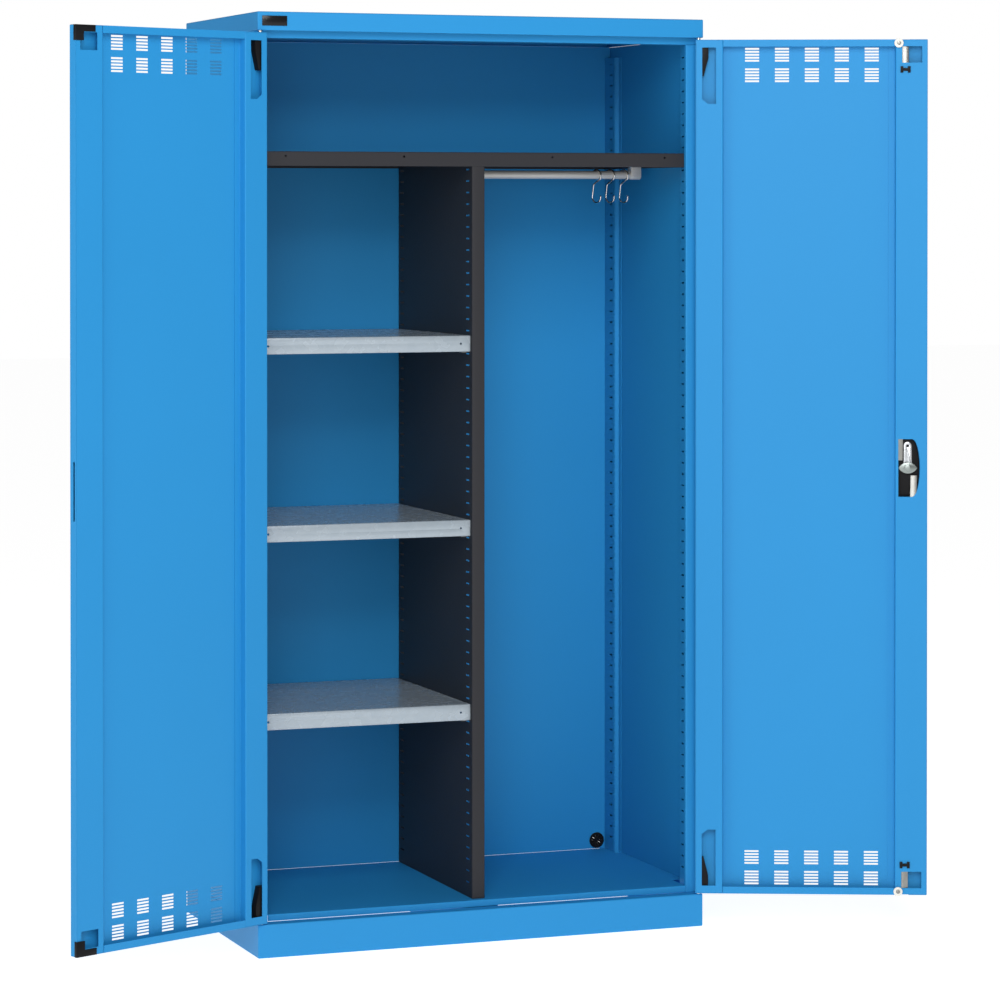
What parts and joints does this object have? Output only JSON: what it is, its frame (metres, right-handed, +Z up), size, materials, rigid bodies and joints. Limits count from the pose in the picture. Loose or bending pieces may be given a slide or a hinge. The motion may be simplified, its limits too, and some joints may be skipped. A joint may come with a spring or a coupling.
{
  "type": "locker cabinet",
  "caption": "Steel locker cabinet with hinged doors and rod lock, shelves on one side of a partition and a clothes rail with hooks on the other.",
  "frame": {"origin": "centre of the cabinet's footprint on the floor, at the foot of the plinth's cross member; the open doors reach beyond the footprint", "axes": "+Z up, +X to the right of someone facing the front, +Y to the back"},
  "size_m": [1.9412, 0.7666, 2],
  "materials": {
    "blue_paint": "semi-gloss light blue powder coat",
    "anthracite_paint": "satin anthracite powder coat",
    "galvanised_steel": "galvanised sheet",
    "rail_grey": "satin grey",
    "bright_steel": "bright plated",
    "black_plastic": "matte black",
    "white_nylon": "natural nylon"
  },
  "bodies": {
    "cabinet": {"back_panel": "blue_paint", "cable_grommet": "black_plastic", "clothes_rail": "rail_grey", "floor_cross_member": "blue_paint", "floor_tray": "blue_paint", "front_left_upright": "blue_paint", "front_right_upright": "blue_paint", "label_plate": "black_plastic", "left_lower_hinge_pin": "bright_steel", "left_rail_bracket": "rail_grey", "left_side_panel": "blue_paint", "left_upper_hinge_pin": "bright_steel", "lintel": "blue_paint", "lower_shelf": "galvanised_steel", "middle_shelf": "galvanised_steel", "partition": "anthracite_paint", "plinth": "blue_paint", "rear_left_upright": "blue_paint", "rear_right_upright": "blue_paint", "right_lower_hinge_pin": "bright_steel", "right_rail_bracket": "rail_grey", "right_side_panel": "blue_paint", "right_upper_hinge_pin": "bright_steel", "top_cover": "blue_paint", "top_shelf": "anthracite_paint", "upper_shelf": "galvanised_steel"},
    "left_door": {"left_door_edge_stiffener": "blue_paint", "left_door_hinge_stiffener": "blue_paint", "left_door_lower_corner_guard": "black_plastic", "left_door_lower_pivot_block": "black_plastic", "left_door_pan": "blue_paint", "left_door_upper_corner_guard": "black_plastic", "left_door_upper_pivot_block": "black_plastic"},
    "right_door": {"right_door_hinge_stiffener": "blue_paint", "right_door_lock_stiffener": "blue_paint", "right_door_lower_pivot_block": "black_plastic", "right_door_pan": "blue_paint", "right_door_upper_pivot_block": "black_plastic", "lock_case": "black_plastic", "lock_escutcheon": "black_plastic", "upper_rod_guide": "black_plastic", "lower_rod_guide": "black_plastic"},
    "handle": {"t_handle": "black_plastic", "lock_spindle": "bright_steel", "latch_lever": "galvanised_steel", "rod_cam": "galvanised_steel"},
    "key_plug_body": {"key_plug": "bright_steel"},
    "upper_rod": {"upper_locking_rod": "galvanised_steel"},
    "lower_rod": {"lower_locking_rod": "galvanised_steel"},
    "upper_roller_body": {"upper_roller": "white_nylon"},
    "lower_roller_body": {"lower_roller": "white_nylon"},
    "left_hook_body": {"left_hook": "bright_steel"},
    "middle_hook_body": {"middle_hook": "bright_steel"},
    "right_hook_body": {"right_hook": "bright_steel"}
  },
  "joints": [
    {"name": "left_door_hinge", "type": "hinge", "parent": "cabinet", "child": "left_door", "pos_m": [-0.5035, -0.27, 1], "axis": [0, 0, -1], "range_deg": [-156, 14]},
    {"name": "right_door_hinge", "type": "hinge", "parent": "cabinet", "child": "right_door", "pos_m": [0.5035, -0.27, 1], "axis": [0, 0, 1], "range_deg": [-157, 13]},
    {"name": "handle_turn", "type": "hinge", "parent": "right_door", "child": "handle", "pos_m": [0.92901, -0.44356, 1.014], "axis": [0.3907, 0.9205, 0], "range_deg": [0, 90]},
    {"name": "key_turn", "type": "hinge", "parent": "handle", "child": "key_plug_body", "pos_m": [0.92901, -0.44356, 1.014], "axis": [-0.3907, -0.9205, 0], "range_deg": [-90, 90]},
    {"name": "upper_rod_slide", "type": "slide", "parent": "right_door", "child": "upper_rod", "axis": [0, 0, 1], "range_m": [0, 0.014]},
    {"name": "lower_rod_slide", "type": "slide", "parent": "right_door", "child": "lower_rod", "axis": [0, 0, -1], "range_m": [0, 0.014]},
    {"name": "upper_roller_turn", "type": "hinge", "parent": "upper_rod", "child": "upper_roller_body", "pos_m": [0.90088, -0.4566, 1.9475], "axis": [-0.3907, -0.9205, 0], "continuous": true},
    {"name": "lower_roller_turn", "type": "hinge", "parent": "lower_rod", "child": "lower_roller_body", "pos_m": [0.90088, -0.4566, 0.082], "axis": [-0.3907, -0.9205, 0], "continuous": true},
    {"name": "left_hook_swing", "type": "hinge", "parent": "cabinet", "child": "left_hook_body", "pos_m": [0.3784, 0.02, 1.66], "axis": [1, 0, 0], "range_deg": [-35, 35]},
    {"name": "middle_hook_swing", "type": "hinge", "parent": "cabinet", "child": "middle_hook_body", "pos_m": [0.4114, 0.02, 1.66], "axis": [1, 0, 0], "range_deg": [-35, 35]},
    {"name": "right_hook_swing", "type": "hinge", "parent": "cabinet", "child": "right_hook_body", "pos_m": [0.4448, 0.02, 1.66], "axis": [1, 0, 0], "range_deg": [-35, 35]}
  ],
  "couplings": [
    {"joint": "upper_rod_slide", "follows": "handle_turn", "m_per_rad": 0.0089127},
    {"joint": "lower_rod_slide", "follows": "handle_turn", "m_per_rad": 0.0089127}
  ]
}
